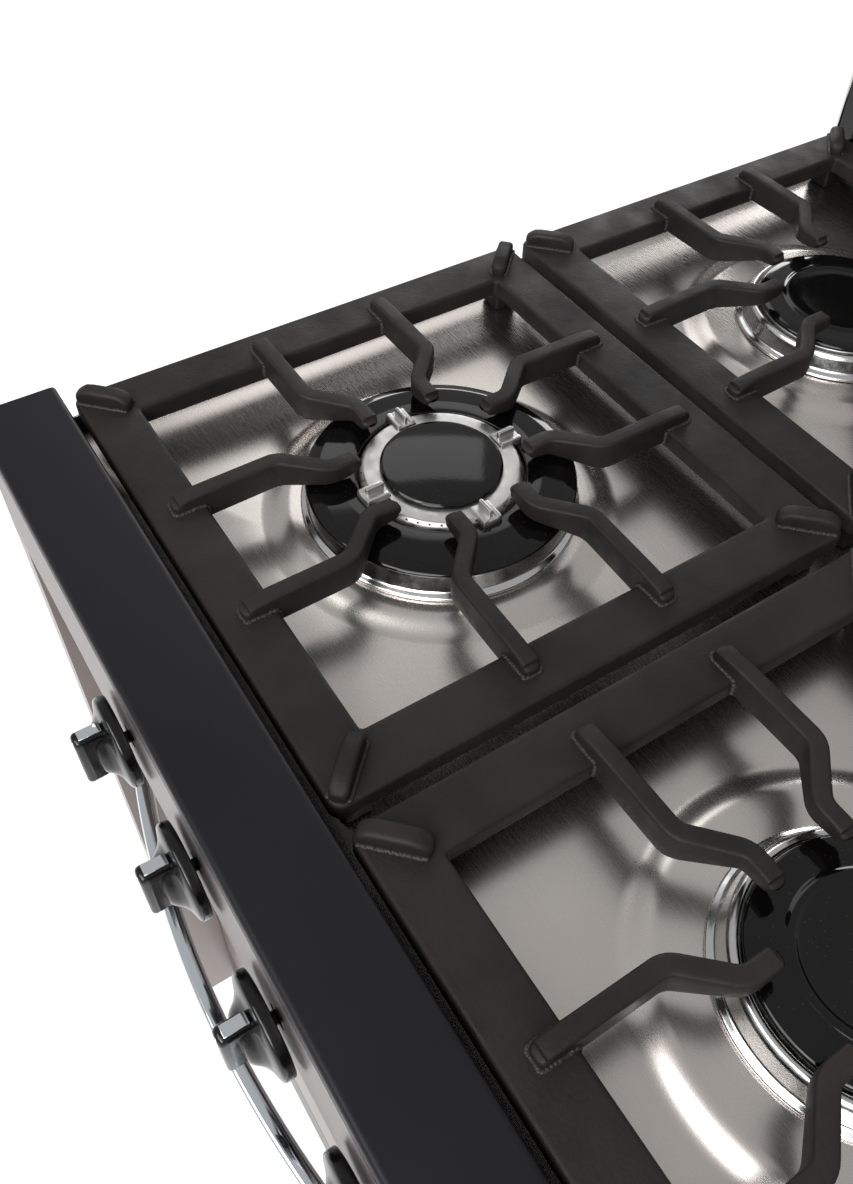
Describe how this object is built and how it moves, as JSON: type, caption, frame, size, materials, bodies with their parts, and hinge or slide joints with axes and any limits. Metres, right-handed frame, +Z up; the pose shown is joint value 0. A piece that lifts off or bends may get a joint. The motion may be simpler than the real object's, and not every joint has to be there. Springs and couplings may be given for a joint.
{
  "type": "freestanding gas range",
  "caption": "Freestanding gas range with cast square grates, ringed burners, a dark front ledge, push-and-turn knobs, a bowed door handle and an oven below.",
  "frame": {"origin": "on the floor, under the middle of the bounding box", "axes": "+Z up, +X to the right of a person facing the front, +Y towards the rear"},
  "size_m": [0.61, 0.7146, 1.034],
  "materials": {
    "cast_iron": "matte, slightly rough, dark brown-black",
    "stainless": "brushed, satin",
    "chrome": "polished",
    "leg_steel": "satin steel",
    "charcoal": "satin charcoal enamel",
    "black_enamel": "glossy black enamel",
    "black_plastic": "glossy black",
    "aluminium": "bead-blasted casting",
    "brass": "machined",
    "oven_enamel": "dark oven enamel",
    "galvanised": "galvanised sheet",
    "glass": "dark tinted glass"
  },
  "bodies": {
    "case": {"back_guard": "black_enamel", "base_pan": "galvanised", "burner_base_front_left": "chrome", "burner_base_front_right": "chrome", "burner_base_rear_left": "chrome", "burner_base_rear_right": "chrome", "burner_crown_front_left": "aluminium", "burner_crown_front_right": "aluminium", "burner_crown_rear_left": "aluminium", "burner_crown_rear_right": "aluminium", "control_panel": "stainless", "cooktop": "stainless", "front_ledge": "charcoal", "gas_manifold": "galvanised", "hinge_bracket_left": "galvanised", "hinge_bracket_right": "galvanised", "left_side_panel": "stainless", "leg_front_left": "leg_steel", "leg_front_right": "leg_steel", "leg_rear_left": "leg_steel", "leg_rear_right": "leg_steel", "lower_front_panel": "stainless", "oven_burner": "aluminium", "oven_floor": "oven_enamel", "oven_liner": "oven_enamel", "oven_rack": "chrome", "rear_panel": "galvanised", "right_side_panel": "stainless", "ring_cap_front_left": "black_enamel", "valve_front_left": "brass", "valve_front_right": "brass", "valve_oven": "brass", "valve_rear_left": "brass", "valve_rear_right": "brass"},
    "door": {"door_skin": "stainless", "door_glass": "glass", "door_inner_glass": "glass", "door_liner": "oven_enamel", "door_handle": "chrome"},
    "grate_front_left": {"grate_front_left": "cast_iron"},
    "centre_cap_front_left": {"centre_cap_front_left": "black_enamel"},
    "grate_front_right": {"grate_front_right": "cast_iron"},
    "centre_cap_front_right": {"centre_cap_front_right": "black_enamel"},
    "grate_rear_left": {"grate_rear_left": "cast_iron"},
    "centre_cap_rear_left": {"centre_cap_rear_left": "black_enamel"},
    "grate_rear_right": {"grate_rear_right": "cast_iron"},
    "centre_cap_rear_right": {"centre_cap_rear_right": "black_enamel"},
    "valve_plug_front_left": {"valve_plug_front_left": "brass"},
    "knob_front_left": {"knob_front_left": "black_plastic"},
    "valve_plug_rear_left": {"valve_plug_rear_left": "brass"},
    "knob_rear_left": {"knob_rear_left": "black_plastic"},
    "valve_plug_rear_right": {"valve_plug_rear_right": "brass"},
    "knob_rear_right": {"knob_rear_right": "black_plastic"},
    "valve_plug_front_right": {"valve_plug_front_right": "brass"},
    "knob_front_right": {"knob_front_right": "black_plastic"},
    "valve_plug_oven": {"valve_plug_oven": "brass"},
    "knob_oven": {"knob_oven": "black_plastic"}
  },
  "joints": [
    {"name": "door_hinge", "type": "hinge", "parent": "case", "child": "door", "pos_m": [0, -0.28775, 0.1825], "axis": [1, 0, 0], "range_deg": [0, 90]},
    {"name": "grate_lift_front_left", "type": "slide", "parent": "case", "child": "grate_front_left", "axis": [0, 0, 1], "range_m": [0, 0.15]},
    {"name": "cap_lift_front_left", "type": "slide", "parent": "case", "child": "centre_cap_front_left", "axis": [0, 0, 1], "range_m": [0, 0.1]},
    {"name": "grate_lift_front_right", "type": "slide", "parent": "centre_cap_front_right", "child": "grate_front_right", "axis": [0, 0, 1], "range_m": [0, 0.15]},
    {"name": "cap_lift_front_right", "type": "slide", "parent": "case", "child": "centre_cap_front_right", "axis": [0, 0, 1], "range_m": [0, 0.1]},
    {"name": "grate_lift_rear_left", "type": "slide", "parent": "centre_cap_rear_left", "child": "grate_rear_left", "axis": [0, 0, 1], "range_m": [0, 0.15]},
    {"name": "cap_lift_rear_left", "type": "slide", "parent": "case", "child": "centre_cap_rear_left", "axis": [0, 0, 1], "range_m": [0, 0.1]},
    {"name": "grate_lift_rear_right", "type": "slide", "parent": "centre_cap_rear_right", "child": "grate_rear_right", "axis": [0, 0, 1], "range_m": [0, 0.15]},
    {"name": "cap_lift_rear_right", "type": "slide", "parent": "case", "child": "centre_cap_rear_right", "axis": [0, 0, 1], "range_m": [0, 0.1]},
    {"name": "knob_turn_front_left", "type": "hinge", "parent": "case", "child": "valve_plug_front_left", "pos_m": [-0.1125, -0.33275, 0.861], "axis": [0, -1, 0], "range_deg": [0, 210]},
    {"name": "knob_push_front_left", "type": "slide", "parent": "valve_plug_front_left", "child": "knob_front_left", "axis": [0, 1, 0], "range_m": [0, 0.0025], "stiffness_N_per_m": 1500},
    {"name": "knob_turn_rear_left", "type": "hinge", "parent": "case", "child": "valve_plug_rear_left", "pos_m": [-0.0375, -0.33275, 0.861], "axis": [0, -1, 0], "range_deg": [0, 210]},
    {"name": "knob_push_rear_left", "type": "slide", "parent": "valve_plug_rear_left", "child": "knob_rear_left", "axis": [0, 1, 0], "range_m": [0, 0.0025], "stiffness_N_per_m": 1500},
    {"name": "knob_turn_rear_right", "type": "hinge", "parent": "case", "child": "valve_plug_rear_right", "pos_m": [0.0375, -0.33275, 0.861], "axis": [0, -1, 0], "range_deg": [0, 210]},
    {"name": "knob_push_rear_right", "type": "slide", "parent": "valve_plug_rear_right", "child": "knob_rear_right", "axis": [0, 1, 0], "range_m": [0, 0.0025], "stiffness_N_per_m": 1500},
    {"name": "knob_turn_front_right", "type": "hinge", "parent": "case", "child": "valve_plug_front_right", "pos_m": [0.1125, -0.33275, 0.861], "axis": [0, -1, 0], "range_deg": [0, 210]},
    {"name": "knob_push_front_right", "type": "slide", "parent": "valve_plug_front_right", "child": "knob_front_right", "axis": [0, 1, 0], "range_m": [0, 0.0025], "stiffness_N_per_m": 1500},
    {"name": "knob_turn_oven", "type": "hinge", "parent": "case", "child": "valve_plug_oven", "pos_m": [0.212, -0.33275, 0.861], "axis": [0, -1, 0], "range_deg": [0, 260]},
    {"name": "knob_push_oven", "type": "slide", "parent": "valve_plug_oven", "child": "knob_oven", "axis": [0, 1, 0], "range_m": [0, 0.0025], "stiffness_N_per_m": 1500}
  ]
}
